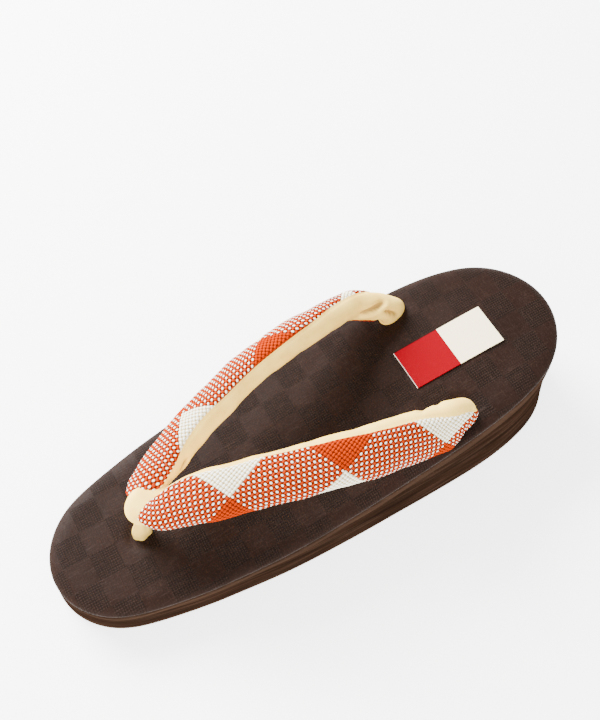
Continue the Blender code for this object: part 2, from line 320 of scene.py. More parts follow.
@dataclass
class Surface:
    """A material in the making: its node tree, with constants on its shader."""

    name: str
    constants: dict[str, float]

    def __post_init__(self) -> None:
        """Make the material, and set the constants straight on the shader's sockets."""
        self.material = bpy.data.materials.new(self.name)
        self.material.use_nodes = True
        self.tree = self.material.node_tree
        self.shader = self.tree.nodes["Principled BSDF"]
        for socket, value in self.constants.items():
            self.shader.inputs[socket].default_value = value
        self.place = add_node(self.tree, "TexCoord", out="Object")

    def speckle(self, size_mm: float | tuple[float, float, float], detail: float = 3.0) -> bpy.types.NodeSocket:
        """Noise on the piece's own coordinates.

        Args:
            size_mm: how large its features are, in all or along each axis.
            detail: octaves of finer noise.

        Returns:
            The noise, from 0 to 1.
        """
        scale = tuple(1 / (np.broadcast_to(size_mm, 3) * MM))
        near = add_node(self.tree, "VectorMath", (self.place, scale), operation="MULTIPLY")
        return add_node(self.tree, "TexNoise", {"Vector": near, "Scale": 1.0, "Detail": detail})

    def total(self, start: object, *terms: tuple[object, float]) -> bpy.types.NodeSocket:
        """Add to a start each value times its weight.

        Args:
            start: a value or socket.
            terms: pairs of a value or socket and its weight.

        Returns:
            The sum.
        """
        for value, weight in terms:
            start = add_node(self.tree, "Math", (value, weight, start), operation="MULTIPLY_ADD")
        return start

    def paint(self, base: str | bpy.types.NodeSocket, *tints: Tint) -> bpy.types.NodeSocket:
        """Lay tints over a base colour, one after the other.

        Args:
            base: hex colour or socket.
            tints: what is laid over it.

        Returns:
            The colour.
        """
        below = to_linear(base) if isinstance(base, str) else base
        for tint in tints:
            easing = "LINEAR" if (tint.low, tint.high) == (0.0, 1.0) else "SMOOTHSTEP"
            reach = (tint.value, tint.low, tint.high, 0.0, tint.amount)
            share = add_node(self.tree, "MapRange", reach, interpolation_type=easing)
            colour = to_linear(tint.colour) if isinstance(tint.colour, str) else tint.colour
            below = add_node(self.tree, "Mix", {0: share, 6: below, 7: colour}, 2, data_type="RGBA")
        return below

    def close(
        self, base: bpy.types.NodeSocket, rough: bpy.types.NodeSocket, height: bpy.types.NodeSocket, depth_mm: float
    ) -> bpy.types.Material:
        """Link what varies to the shader.

        Args:
            base: the colour.
            rough: the roughness.
            height: the relief, from 0 to 1.
            depth_mm: how deep the relief is.

        Returns:
            The material.
        """
        relief = {"Height": height, "Distance": depth_mm * MM, "Strength": 1.0}
        self.tree.links.new(base, self.shader.inputs["Base Color"])
        self.tree.links.new(rough, self.shader.inputs["Roughness"])
        self.tree.links.new(add_node(self.tree, "Bump", relief), self.shader.inputs["Normal"])
        return self.material


@dataclass(frozen=True)
class CheckedSheet:
    """Synthetic sheet pressed with a tonal check: it reads as dark brown with a dull, soft gloss.

    Every other square is cross-hatched, which makes it greyer and rougher.  The hatch
    is drawn at about twice its real pitch so that it shows.  Pale specks on the grain
    are painted glints, and the pale line along the rolled edge is a painted highlight.
    is drawn at about twice its real pitch so that it shows.
    """

    square_mm: float = 11.6
    hatch_mm: float = 1.08
    grain_mm: float = 0.55
    thread_mm: tuple[float, float] = (9.0, 0.45)
    sway_mm: float = 1.2
    hatched: str = "#140c09"
    plain: str = "#1b100c"
    pale_and_sheen: str = "#35261f"
    stain: str = "#120c09"

    def make(self) -> bpy.types.Material:
        """Make the material.

        Returns:
            The material.
        """
        made = Surface("pressed_check_sheet", {"IOR": 1.5, "Specular IOR Level": 0.04})
        tree = made.tree
        # Slightly wavy edges, as the sheet is stretched over the foam.
        sway = made.total(-self.sway_mm / 2 * MM, (made.speckle(30.0, 1.0), self.sway_mm * MM))
        swayed = add_node(tree, "VectorMath", (made.place, sway), operation="ADD")
        pitch = 1 / (self.square_mm * MM)
        squares = (swayed, (pitch, pitch, 0.0), (0.0, 0.0, 0.5))
        flat = add_node(tree, "VectorMath", squares, operation="MULTIPLY_ADD")
        check = add_node(tree, "TexChecker", {"Vector": flat, "Scale": 1.0}, "Fac")
        turns = 2 * math.pi / (self.hatch_mm * MM)
        waves = add_node(tree, "VectorMath", (swayed, (turns, turns, 0.0)), operation="MULTIPLY")
        waves = add_node(tree, "VectorMath", (waves,), operation="SINE")
        lines = [add_node(tree, "SeparateXYZ", (waves,), axis) for axis in (0, 1)]
        crossed = add_node(tree, "Math", lines, operation="MINIMUM")
        hatch = add_node(tree, "MapRange", (crossed, -0.8, 0.5, 0.0, 1.0), interpolation_type="SMOOTHSTEP")
        long, thin = self.thread_mm
        linen = [made.speckle(sizes, 2.0) for sizes in ((long, thin, math.inf), (thin, long, math.inf))]
        linen = add_node(tree, "Math", linen, operation="MAXIMUM")
        thread = add_node(tree, "MapRange", (linen, 0.56, 0.74, 0.0, 1.0), interpolation_type="SMOOTHSTEP")
        grain = made.speckle(self.grain_mm)
        pressed = add_node(tree, "Math", (hatch, made.total(0.12, (check, 0.70))), operation="MULTIPLY")
        edge = add_node(tree, "Attribute", out="Fac", attribute_name="rolled")
        base = made.paint(
            self.plain,
            Tint(check, self.hatched),
            Tint(pressed, self.pale_and_sheen, 0.42),
            Tint(made.speckle(22.0), self.stain, 0.22, 0.45, 0.75),
            # Pale specks on the grain: painted glints.
            Tint(grain, self.pale_and_sheen, 0.42, 0.50, 0.72),
            Tint(thread, self.pale_and_sheen, 0.30),
            # Pale line along the lip of the rolled edge: a painted highlight.
            Tint(edge, self.pale_and_sheen, 0.35),
        )
        rough = made.total(0.36, (grain, 0.16), (check, 0.07))
        return made.close(base, rough, made.total(pressed, (grain, 0.45), (thread, 0.30)), 0.20)


@dataclass(frozen=True)
class StreakedFoam:
    """Skived EVA foam with long streaks around the sole: matt, warm brown, slightly waxy."""

    broad_mm: tuple[float, float, float] = (55.0, 55.0, 3.0)
    fine_mm: tuple[float, float, float] = (26.0, 26.0, 0.8)
    light: str = "#46352a"
    middle: str = "#241710"
    dark: str = "#170e09"
    shade: str = "#0f0906"
    dust: str = "#453324"

    def make(self) -> bpy.types.Material:
        """Make the material.

        Returns:
            The material.
        """
        made = Surface("streaked_eva_foam", {"IOR": 1.48, "Specular IOR Level": 0.0})
        level = add_node(made.tree, "Attribute", out="Fac", attribute_name="level")
        broad, fine, grain = made.speckle(self.broad_mm, 2.0), made.speckle(self.fine_mm, 2.0), made.speckle(0.5)
        # The band under the rim is paler, and the groove below it lies in shade.
        band, groove = (
            add_node(made.tree, "MapRange", (level, low, high, 0.0, 1.0), interpolation_type="SMOOTHSTEP")
            for low, high in ((0.80, 0.83), (0.70, 0.79))
        )
        base = made.paint(
            self.dark,
            Tint(broad, self.middle, 1.0, 0.3, 0.7),
            Tint(fine, self.light, 0.45, 0.42, 0.75),
            Tint(band, self.light, 0.35),
            Tint(made.total(groove, (band, -1.0)), self.shade, 0.55),
            Tint(grain, self.dust, 0.25, 0.6, 0.85),
        )
        return made.close(base, made.total(0.5, (fine, 0.2)), made.total(0.0, (fine, 0.7), (grain, 0.3)), 0.20)


@dataclass(frozen=True)
class OutsoleRubber:
    """Calendered rubber sheet: dark brown, dull, and paler along the bead at its edge."""

    face: str = "#1d130e"
    patch: str = "#271b14"
    grey: str = "#33261d"
    edge: str = "#4a3626"

    def make(self) -> bpy.types.Material:
        """Make the material.

        Returns:
            The material.
        """
        made = Surface("calendered_rubber", {"IOR": 1.52, "Specular IOR Level": 0.0})
        lip = add_node(made.tree, "Attribute", out="Fac", attribute_name="lip")
        grain = made.speckle(0.8, 4.0)
        base = made.paint(
            self.face,
            Tint(made.speckle(25.0, 2.0), self.patch, 0.5),
            Tint(grain, self.grey, 0.3, 0.5, 0.8),
            Tint(lip, self.edge, 0.75),
        )
        return made.close(base, made.total(0.62, (grain, 0.2)), grain, 0.12)


@dataclass(frozen=True)
class ThickYarn:
    """Thick matt yarn in plain weave: orange and off-white floats, with painted shade in the hollows.

    The strap's UV counts yarns: U the warp, V the weft.  Both turn from white to orange
    every stripe_yarns, which gives solid diamonds and dotted ones.  A float is an oval
    dome, across and length being its half sizes in yarns.
    """

    stripe_yarns: int = 21
    orange: str = "#a83000"
    white: str = "#fffbe8"
    hollow_shade_orange: str = "#6e1b00"
    hollow_shade_white: str = "#cdb577"
    across: float = 0.43
    length: float = 0.62
    squeeze: float = 0.30

    def make(self) -> bpy.types.Material:
        """Make the material.

        Returns:
            The material.
        """
        made = Surface("thick_yarn_weave", {"IOR": 1.46, "Specular IOR Level": 0.0})
        tree = made.tree
        counts = add_node(tree, "TexCoord", out="UV")
        cell = add_node(tree, "VectorMath", (counts,), operation="FLOOR")
        both = add_node(tree, "VectorMath", (cell, (1.0, 1.0, 0.0)), "Value", operation="DOT_PRODUCT")
        odd = add_node(tree, "Math", (both, 2.0), operation="FLOORED_MODULO")
        warp_up = add_node(tree, "Math", (odd, 0.5), operation="LESS_THAN")
        # Each yarn's own colour, 0 for white and 1 for orange.
        stripe = add_node(tree, "VectorMath", (cell, (0.5, self.stripe_yarns + 0.5, 0.0)), operation="ADD")
        stripe = add_node(tree, "VectorMath", (stripe, (self.stripe_yarns,) * 3), operation="DIVIDE")
        stripe = add_node(tree, "VectorMath", (stripe,), operation="FLOOR")
        stripe = add_node(tree, "VectorMath", (stripe, (2.0,) * 3, (0.0,) * 3), operation="WRAP")
        warp, weft = (add_node(tree, "SeparateXYZ", (stripe,), axis) for axis in (0, 1))
        top = add_node(tree, "Mix", {0: warp_up, 2: weft, 3: warp})
        either = add_node(tree, "Math", (warp, weft), operation="MAXIMUM")
        # The dome: the root of 1 less the squares of both offsets, each over its half size.
        inside = add_node(tree, "VectorMath", (counts,), operation="FRACTION")
        offset = add_node(tree, "VectorMath", (inside, (0.5,) * 3), operation="SUBTRACT")
        square = add_node(tree, "VectorMath", (offset, offset), operation="MULTIPLY")
        narrow, wide = 1 / self.across**2, 1 / self.length**2
        falls = [
            add_node(tree, "VectorMath", (square, weights), "Value", operation="DOT_PRODUCT")
            for weights in ((wide, narrow, 0.0), (narrow, wide, 0.0))
        ]
        fall = add_node(tree, "Mix", {0: warp_up, 2: falls[0], 3: falls[1]})
        dome = add_node(tree, "Math", (made.total(1.0, (fall, -1.0)), 0.0), operation="MAXIMUM")
        dome = add_node(tree, "Math", (dome,), operation="SQRT")
        # A white float between orange yarns shows smaller, as the orange bulges up around it.
        # Where this swell falls low, in the hollows, the colour turns to painted shade.
        swell = made.total(dome, (either, -self.squeeze), (top, self.squeeze))
        fibre = made.speckle(0.35, 4.0)
        # The painted shade's colour for the hollows, also laid at random for darker fibres.
        deep = made.paint(self.hollow_shade_white, Tint(either, self.hollow_shade_orange))
        base = made.paint(
            self.white,
            Tint(top, self.orange),
            # Painted shade in the hollows between floats.
            Tint(swell, deep, 1.0, 0.62, 0.28),
            Tint(fibre, deep, 0.15, 0.35, 0.8),
            Tint(made.speckle(9.0, 2.0), deep, 0.08, 0.4, 0.8),
        )
        return made.close(base, made.total(0.7, (fibre, 0.2)), made.total(0.0, (dome, 0.8), (fibre, 0.2)), 0.30)


@dataclass(frozen=True)
class CreamVelvet:
    """Short-pile velveteen: cream, no gloss, paler where the pile is seen edge-on."""

    pile: str = "#fbd468"
    crushed: str = "#f0c35a"
    tips: str = "#ffdf90"
    shaded: str = "#8a6234"

    def make(self) -> bpy.types.Material:
        """Make the material.

        Returns:
            The material.
        """
        sheen = {"Sheen Weight": 0.04, "Sheen Roughness": 0.4}
        made = Surface("cream_velveteen", {"IOR": 1.45, "Specular IOR Level": 0.03, **sheen})
        nap, brushed = made.speckle(0.45), made.speckle(7.0)
        fold = add_node(made.tree, "Attribute", out="Fac", attribute_name="fold")
        # The bottom of a fold is darker, as its two sides shade each other.
        base = made.paint(
            self.pile,
            Tint(brushed, self.crushed, 1.0, 0.35, 0.75),
            Tint(nap, self.tips, 0.15),
            Tint(fold, self.shaded, 0.75),
        )
        return made.close(base, made.total(0.85, (nap, 0.1)), made.total(0.0, (nap, 0.4), (brushed, 0.6)), 0.22)


@dataclass(frozen=True)
class WovenLabel:
    """Damask-woven label, half red and half cream, with a pale cut edge: smooth and slightly silky."""

    middle_y: float
    rib_mm: float = 0.55
    red: str = "#760010"
    cream: str = "#fff0c8"
    cut: str = "#f4f0e8"
    fluff: str = "#ffffff"

    def make(self) -> bpy.types.Material:
        """Make the material.

        Returns:
            The material.
        """
        made = Surface("damask_label", {"IOR": 1.5, "Specular IOR Level": 0.0})
        tree = made.tree
        x, y = (add_node(tree, "SeparateXYZ", (made.place,), axis) for axis in (0, 1))
        wave = add_node(tree, "Math", (x, 2 * math.pi / (self.rib_mm * MM)), operation="MULTIPLY")
        wave = add_node(tree, "Math", (wave,), operation="SINE")
        rib = made.total(0.5, (wave, 0.5))
        speck = made.speckle(0.5)
        half = add_node(tree, "Math", (y, self.middle_y), operation="GREATER_THAN")
        rim = add_node(tree, "Attribute", out="Fac", attribute_name="rim")
        base = made.paint(
            self.red, Tint(half, self.cream), Tint(speck, self.fluff, 0.012, 0.5, 0.9), Tint(rim, self.cut)
        )
        return made.close(base, made.total(0.42, (rib, 0.08)), made.total(0.0, (rib, 0.5), (speck, 0.5)), 0.03)


@dataclass
class Last:
    """The sole's form: outline, rim, flare and toe spring, in metres."""

    length: float = 240 * MM
    width: float = 81.5 * MM
    toe_shift: float = 2.2 * MM
    heel_rim: float = 46.3 * MM
    toe_rim: float = 16.3 * MM
    cover: float = 4.0 * MM
    heel_flare: float = 3.0 * MM
    toe_flare: float = 0.8 * MM
    spring: float = 1.5 * MM
    spring_start: float = 0.90
    spine: float = 0.72
    points: int = 560
    fullness: tuple[Share, ...] = table(
        Share,
        (0.00, 2.18), (0.04, 2.04), (0.125, 1.60), (0.25, 1.22), (0.375, 1.04), (0.50, 1.00),
        (0.625, 1.03), (0.75, 1.09), (0.875, 1.32), (0.96, 1.73), (1.00, 1.90),
    )
    rim: tuple[Share, ...] = table(
        Share,
        (0.000, 1.00), (0.125, 0.91), (0.250, 0.745), (0.375, 0.555), (0.500, 0.365),
        (0.625, 0.195), (0.750, 0.066), (0.875, 0.00), (1.000, 0.005),
    )

    def y_at(self, along: Array | float) -> Array | float:
        """Y of a share of the length."""
        return self.length * (0.5 - along) - (self.heel_flare - self.toe_flare) / 2

    def along_at(self, y: Array) -> Array:
        """Share of the length at a Y."""
        return 0.5 - (y + (self.heel_flare - self.toe_flare) / 2) / self.length

    def rim_height(self, along: Array | float) -> Array:
        """Height of the line under the cover."""
        return self.toe_rim + (self.heel_rim - self.toe_rim) * read(self.rim, along)

    def deck_height(self, along: Array | float) -> Array:
        """Height of the footbed's face."""
        return self.rim_height(along) + self.cover

    def on_deck(self, x: float, along: float) -> Array:
        """Point of the footbed's face."""
        return np.array([x, self.y_at(along), float(self.deck_height(along))])

    def toe_rise(self, along: Array) -> Array:
        """Rise of the underside at the toe, growing as the square."""
        share = np.clip((along - self.spring_start) / (1 - self.spring_start), 0, 1)
        return self.spring * share**2

    def flare(self, along: Array) -> Array:
        """How far the bottom edge stands out past the rim."""
        return self.heel_flare * (1 - along) ** 3 + self.toe_flare * along**6

    def turns(self) -> Array:
        """Even angles around the outline."""
        return np.arange(self.points) * 2 * math.pi / self.points

    def shares(self) -> Array:
        """Share of the length at each outline point: half of one minus the angle's cosine."""
        return (1 - np.cos(self.turns())) / 2

    def middle(self, along: Array) -> Array:
        """X of the middle line: it bends to one side with the cube of the length."""
        return self.toe_shift * (along**3 - 0.5**3)

    def ring(self, outset: Array | float) -> Array:
        """Outline moved out along its normal.

        Half the width is half the full width times the angle's sine times the root of
        the fullness.

        Args:
            outset: how far out, in all or at each point.

        Returns:
            X and Y columns.
        """
        along = self.shares()
        half = self.width / 2 * np.sqrt(read(self.fullness, along))
        points = np.column_stack([self.middle(along) + half * np.sin(self.turns()), self.y_at(along)])
        tangent = np.roll(points, -1, axis=0) - np.roll(points, 1, axis=0)
        normal = np.column_stack([-tangent[:, 1], tangent[:, 0]])
        normal /= np.linalg.norm(normal, axis=1)[:, None]
        return points + normal * np.broadcast_to(outset, self.points)[:, None]

    def spine_points(self) -> Array:
        """Point of the middle line that each outline point shrinks to."""
        along = 0.5 + (self.shares() - 0.5) * self.spine
        return np.column_stack([self.middle(along), self.y_at(along)])

    def inward(self, outset: Array | float, share: float) -> Array:
        """Ring a share of the way from the moved outline to the spine."""
        return self.ring(outset) * (1 - share) + self.spine_points() * share


@dataclass
class Outsole:
    """The rubber sheet under the sole, with a moulded tread and a pale bead along its cut edge.

    Each row of the bead gives its outset, its share of the thickness and its paleness.
    """

    last: Last
    thickness: float = 3.0 * MM
    rounding: float = 1.0 * MM
    bead: tuple[tuple[float, float, float], ...] = (
        (0.0, 0.94, 0.3),
        (0.35 * MM, 0.80, 1.0),
        (0.35 * MM, 0.62, 1.0),
        (0.05 * MM, 0.45, 0.2),
    )
    rib_pitch: float = 9.0 * MM
    rib_depth: float = 0.7 * MM
    margin: float = 0.13
    rib_wave: tuple[float, float] = (16 * MM, 3.0 * MM)
    rows: int = 46

    def tread(self, x: Array, y: Array, share: float) -> Array:
        """Depth of the tread's grooves: a wavy rib pattern inside a plain margin.

        The groove is deepest where the cosine of the wavy length is near one.

        Args:
            x: X of the points.
            y: Y of the points.
            share: how far in from the edge they lie.

        Returns:
            The depth at each point.
        """
        length, swing = self.rib_wave
        wave = y + swing * np.sin(2 * math.pi * x / length)
        line = np.cos(2 * math.pi * wave / self.rib_pitch)
        inside = smooth_step(self.margin, self.margin + 0.05, np.full_like(x, share))
        return self.rib_depth * smooth_step(0.72, 0.95, line) * inside

    def build(self) -> bpy.types.Object:
        """Make the sheet, closed through its spine above and below.

        Returns:
            The sheet's object.
        """
        last, stack = self.last, RingStack()
        along = last.shares()
        edge, rise = last.flare(along), last.toe_rise(along)
        for share in (1.0, 0.5, 0.0):
            ring = last.inward(edge, share)
            stack.add(ring, last.toe_rise(last.along_at(ring[:, 1])) + self.thickness)
        for outset, height, pale in self.bead:
            stack.add(last.ring(edge + outset), rise + self.thickness * height, pale)
        for angle in np.linspace(0, math.pi / 2, 6):
            ring = last.ring(edge - self.rounding * (1 - math.cos(angle)))
            stack.add(ring, rise + self.rounding * (1 - math.sin(angle)))
        for share in np.linspace(0.02, 1.0, self.rows):
            ring = last.inward(edge - self.rounding, share)
            base = last.toe_rise(last.along_at(ring[:, 1]))
            stack.add(ring, base + self.tread(ring[:, 0], ring[:, 1], share))
        return stack.build("outsole_sheet", "lip")


@dataclass
class SoleBody:
    """The foam wedge: flared wall, groove and proud band."""

    last: Last
    outsole: float = 3.0 * MM
    gap: float = 0.3 * MM
    band: float = 0.20
    proud: float = 0.5 * MM
    groove: float = 0.5 * MM
    flare_power: float = 1.4
    unevenness: float = 0.12 * MM
    rows: int = 48

    def profile(self, share: Array, along: Array) -> Array:
        """How far the wall stands out at each share of its height.

        The flare fades with height by a power, a bell-shaped groove runs just under the
        band, and the band stands proud with rounded edges.

        Args:
            share: shares of the wall's height.
            along: shares of the shoe's length.

        Returns:
            The outset, rows by height and columns around.
        """
        edge = self.last.flare(along)
        fade = (1 - share[:, None] / (1 - self.band)).clip(0, 1) ** self.flare_power
        lower = edge[None, :] * fade
        seam = 1 - self.band
        rise = smooth_step(seam - 0.004, seam + 0.012, share) * (1 - smooth_step(0.975, 1.0, share) * 1.5)
        dip = bell((share - seam + 0.012) / 0.014) * smooth_step(0.0, seam, share)
        return lower + self.proud * rise[:, None] - self.groove * dip[:, None]

    def build(self) -> bpy.types.Object:
        """Make the wedge, closed through its spine above and below.

        Returns:
            The wedge's object.
        """
        last, stack = self.last, RingStack()
        along = last.shares()
        bottom = last.toe_rise(along) + self.outsole + self.gap
        rim = last.rim_height(along)
        seam = 1 - self.band
        share = np.unique(np.concatenate([np.linspace(0, 1, self.rows), np.linspace(seam - 0.04, seam + 0.03, 12)]))
        outset = self.profile(share, along)
        outset = outset + self.unevenness * np.sin(along[None, :] * 40 + 3 * share[:, None])
        for inner in (1.0, 0.5):
            ring = last.inward(outset[0], inner)
            stack.add(ring, last.toe_rise(last.along_at(ring[:, 1])) + self.outsole + self.gap)
        for out, level in zip(outset, share):
            stack.add(last.ring(out), bottom + (rim - bottom) * level, level)
        for inner in np.linspace(0.06, 1.0, 8):
            ring = last.inward(outset[-1], inner)
            stack.add(ring, last.rim_height(last.along_at(ring[:, 1])), 1.0)
        return stack.build("sole_wedge", "level")


@dataclass
class FootbedCover:
    """The padded cover: rolled edge, soft crown, and dimples where straps and loop go in."""

    last: Last
    gap: float = 0.3 * MM
    roll: float = 3.4 * MM
    soft_roll: float = 7.5 * MM
    lip: float = 0.38
    crown: float = 0.3 * MM
    dimple: float = 0.9 * MM
    dimple_reach: float = 2.6 * MM
    overhang: float = 0.08
    under_lip: float = 0.38
    face_waves: tuple[tuple[float, float, float], ...] = ((47 * MM, 0.10 * MM, 0.4), (23 * MM, 0.05 * MM, 2.0))
    rows: int = 58

    def dimples(self, x: Array, y: Array, places: list[tuple[float, float, float]]) -> Array:
        """Depth of the sunk rings, a bell curve of the distance past each hole's edge.

        Args:
            x: X of the points.
            y: Y of the points.
            places: X, Y and radius of each hole.

        Returns:
            The depth at each point.
        """
        depth = np.zeros_like(x)
        for px, py, radius in places:
            past = (np.hypot(x - px, y - py) - radius).clip(0)
            depth += self.dimple * bell(past / self.dimple_reach)
        return depth

    def edge_ring(self, angle: float) -> tuple[Array, Array]:
        """One ring of the rolled edge: a quarter ellipse below its lip and a longer one above.

        Args:
            angle: from its underside (0) over its lip to its top (pi).

        Returns:
            The ring's X and Y columns, and its heights.
        """
        thick = self.last.cover - self.gap
        below = angle < math.pi / 2
        reach = self.roll * self.under_lip if below else self.soft_roll
        height = thick * (self.lip * (1 - math.cos(angle)) if below else self.lip - (1 - self.lip) * math.cos(angle))
        ring = self.last.ring(self.roll * self.overhang - reach * (1 - math.sin(angle)))
        return ring, self.last.rim_height(self.last.along_at(ring[:, 1])) + self.gap + height

    def build(self, places: list[tuple[float, float, float]]) -> bpy.types.Object:
        """Make the cover.

        Args:
            places: X, Y and radius of each hole that sinks the face.

        Returns:
            The cover's object.
        """
        last, stack = self.last, RingStack()
        for share in (1.0, 0.4):
            ring = last.inward(-self.roll * 0.34, share)
            stack.add(ring, last.rim_height(last.along_at(ring[:, 1])) + self.gap)
        # Each edge ring's value peaks at the lip, where the sheet paints its highlight.
        for angle in np.linspace(0, math.pi, 28):
            stack.add(*self.edge_ring(angle), math.sin(angle) ** 4)
        for share in np.linspace(0.01, 1.0, self.rows) ** 1.15:
            ring = last.inward(self.roll * self.overhang - self.soft_roll, share)
            height = last.deck_height(last.along_at(ring[:, 1])) + self.crown * smooth_step(0.0, 0.7, share)
            height -= self.dimples(ring[:, 0], ring[:, 1], places)
            wave = ripple(ring[:, 0] + 0.7 * ring[:, 1], self.face_waves)
            stack.add(ring, height + wave * smooth_step(0.0, 0.3, share))
        return stack.build("footbed_cover", "rolled")


@dataclass
class Strap:
    """One padded strap: thick woven face outside, velvet lining inside, as one closed skin."""

    last: Last
    side: Side
    stations: tuple[Station, ...]
    creases: tuple[Crease, ...]
    inner_seam: tuple[Share, ...]
    outer_seam: tuple[Share, ...]
    first_vertex_mm: float
    vertex_around_mm: float
    dot_along_mm: float
    vertex_drift: float = 0.0
    lean: float = 0.0
    lean_fades_mm: tuple[float, float] = (90.0, 130.0)
    dot_across_mm: float = 1.90
    hole_along: float = 0.256
    hole_x: float = 28.0 * MM
    neck_width: float = 13.0 * MM
    neck_thickness: float = 11.0 * MM
    neck_ahead: float = 0.0
    hole_radius: float = 6.0 * MM
    crossing_along: float = 0.825
    crossing_x: float = 0.8 * MM
    width: float = 20.6 * MM
    thickness: float = 13.0 * MM
    rise: float = 33.0 * MM
    squareness: float = 2.3
    depth: float = 6.5 * MM
    face_middle: float = 62.0
    relief_mm: float = 0.50
    weave_level_mm: float = 0.25
    seam_depth_mm: float = 0.25
    lumps_mm: tuple[tuple[float, float, float], ...] = ((31.0, 0.16, 0.5), (17.0, 0.10, 1.7), (9.5, 0.05, 0.2))
    float_across: float = 0.5
    float_length: float = 0.72
    rows: int = 560
    weave_columns: int = 124
    lining_columns: int = 28

    def crossing(self) -> Array:
        """Point on the footbed under the crossing."""
        return self.last.on_deck(self.crossing_x, self.crossing_along)

    def hole(self) -> Array:
        """Middle of the hole that this strap goes into."""
        return self.last.on_deck(self.side.value * self.hole_x, self.hole_along)

    def route(self) -> tuple[Array, Array, Array, Array]:
        """The stations' sizes, ending in three more that go down into the hole.

        Returns:
            Centres, rolls, widths and thicknesses.
        """
        crossing, hole = self.crossing(), self.hole()
        run, out, rise, roll, width, thick = np.array(self.stations).T
        along = self.crossing_along + (self.hole_along - self.crossing_along) * run
        x = crossing[0] + (hole[0] - crossing[0]) * out
        centres = np.column_stack([x, self.last.y_at(along), self.last.deck_height(along) + self.rise * rise])
        drops = np.array([-2 * MM, self.depth * 0.5, self.depth])
        necks = hole - np.array([0.0, self.neck_ahead, 0.0]) - np.outer(drops, [0.0, 0.0, 1.0])
        sizes = ((roll, 90.0), (width * self.width, self.neck_width), (thick * self.thickness, self.neck_thickness))
        return np.vstack([centres, necks]), *(np.append(row, np.full(len(drops), neck)) for row, neck in sizes)

    def angles(self) -> Array:
        """Angles around each row's section: fine over the weave, coarse over the lining.

        Returns:
            Degrees, rows along and columns around.
        """
        share = np.linspace(0, 1, self.rows)
        inner, outer = (read(seam, share)[:, None] for seam in (self.inner_seam, self.outer_seam))
        weave = outer + (inner - outer) * np.linspace(0, 1, self.weave_columns)
        lining = inner + (outer + 360 - inner) * np.linspace(0, 1, self.lining_columns + 2)[1:-1]
        return np.concatenate([weave, lining], axis=1)

    def even_steps(self, marks: Array, centres: Array) -> Array:
        """Places along the stations that are evenly spaced by length.

        Args:
            marks: the stations' numbers.
            centres: their centres.

        Returns:
            One place for each row, in station numbers.
        """
        dense = np.linspace(marks[0], marks[-1], 3 * self.rows)
        path = np.column_stack([smooth_curve(dense, marks, centres[:, k]) for k in range(3)])
        length = np.concatenate([[0], np.cumsum(np.linalg.norm(np.diff(path, axis=0), axis=1))])
        return np.interp(np.linspace(0, length[-1], self.rows), length, dense)

    def bare_skin(self) -> Array:
        """The padded form without weave or folds, rows along and columns around.

        A section is a superellipse in the plane square to the route.  Its face points
        up at a roll of 0 and straight out at 90.

        Returns:
            The skin's points.
        """
        centres, rolls, widths, thicks = self.route()
        marks = np.arange(len(centres), dtype=float)
        steps = self.even_steps(marks, centres)
        path = np.column_stack([smooth_curve(steps, marks, centres[:, k]) for k in range(3)])
        heading = np.gradient(path, axis=0)
        heading /= np.linalg.norm(heading, axis=1)[:, None]
        roll = np.radians(smooth_curve(steps, marks, rolls))
        half_width = smooth_curve(steps, marks, widths)[:, None] / 2
        half_thick = smooth_curve(steps, marks, thicks)[:, None] / 2
        chord = self.hole() - self.crossing()
        outward = self.side.value * np.array([chord[1], -chord[0], 0.0]) * np.sign(chord[1])
        outward /= np.linalg.norm(outward)
        face = np.sin(roll)[:, None] * outward + np.cos(roll)[:, None] * np.array([0, 0, 1.0])
        face -= (face * heading).sum(axis=1)[:, None] * heading
        face /= np.linalg.norm(face, axis=1)[:, None]
        wide = self.side.value * np.cross(heading, face)
        angle = np.radians(self.angles())
        power = 2 / self.squareness
        across = np.sign(np.cos(angle)) * np.abs(np.cos(angle)) ** power * half_width
        up = np.sign(np.sin(angle)) * np.abs(np.sin(angle)) ** power * half_thick
        return path[:, None] + across[..., None] * wide[:, None] + up[..., None] * face[:, None]

    def skin_map(self, skin: Array) -> tuple[Array, Array]:
        """Lengths on the skin: along from the crossing, and around from the face's middle.

        Along is measured on the face's middle, and in the bend at the end mostly on each
        column itself, so that the dots keep their size there.

        Args:
            skin: points of the bare skin.

        Returns:
            Both lengths, in millimetres.
        """
        rows = np.arange(len(skin))
        angles = self.angles()
        middle = np.abs(angles - self.face_middle).argmin(axis=1)
        ring = np.linalg.norm(np.diff(skin, axis=1), axis=2)
        around = np.concatenate([np.zeros((len(skin), 1)), np.cumsum(ring, axis=1)], axis=1) / MM
        zero = np.array([np.interp(self.face_middle, angles[k], around[k]) for k in rows])
        step = np.linalg.norm(np.diff(skin[rows, middle], axis=0), axis=1)[:, None]
        own = np.linalg.norm(np.diff(skin, axis=0), axis=2)
        bent = 0.7 * smooth_step(0.74, 0.84, rows[1:] / len(rows))[:, None]
        along = np.cumsum(np.vstack([np.zeros((1, own.shape[1])), step + bent * (own - step)]), axis=0) / MM
        return along, around - zero[:, None]

    def yarn_counts(self, along: Array, around: Array) -> tuple[Array, Array]:
        """Warp and weft counted from the first point where the stripes cross.

        Both run slantwise: the warp is the sum, and the weft the difference, of the dots
        counted along and around the strap.

        Args:
            along: lengths along the skin.
            around: lengths around it.

        Returns:
            Warp and weft counts.
        """
        past = along - self.first_vertex_mm
        up = around - self.vertex_around_mm - self.vertex_drift * past
        lean = self.lean * (1 - 0.8 * smooth_step(*self.lean_fades_mm, along))
        u, v = (past - lean * up) / self.dot_along_mm, up / self.dot_across_mm
        return u + v, u - v

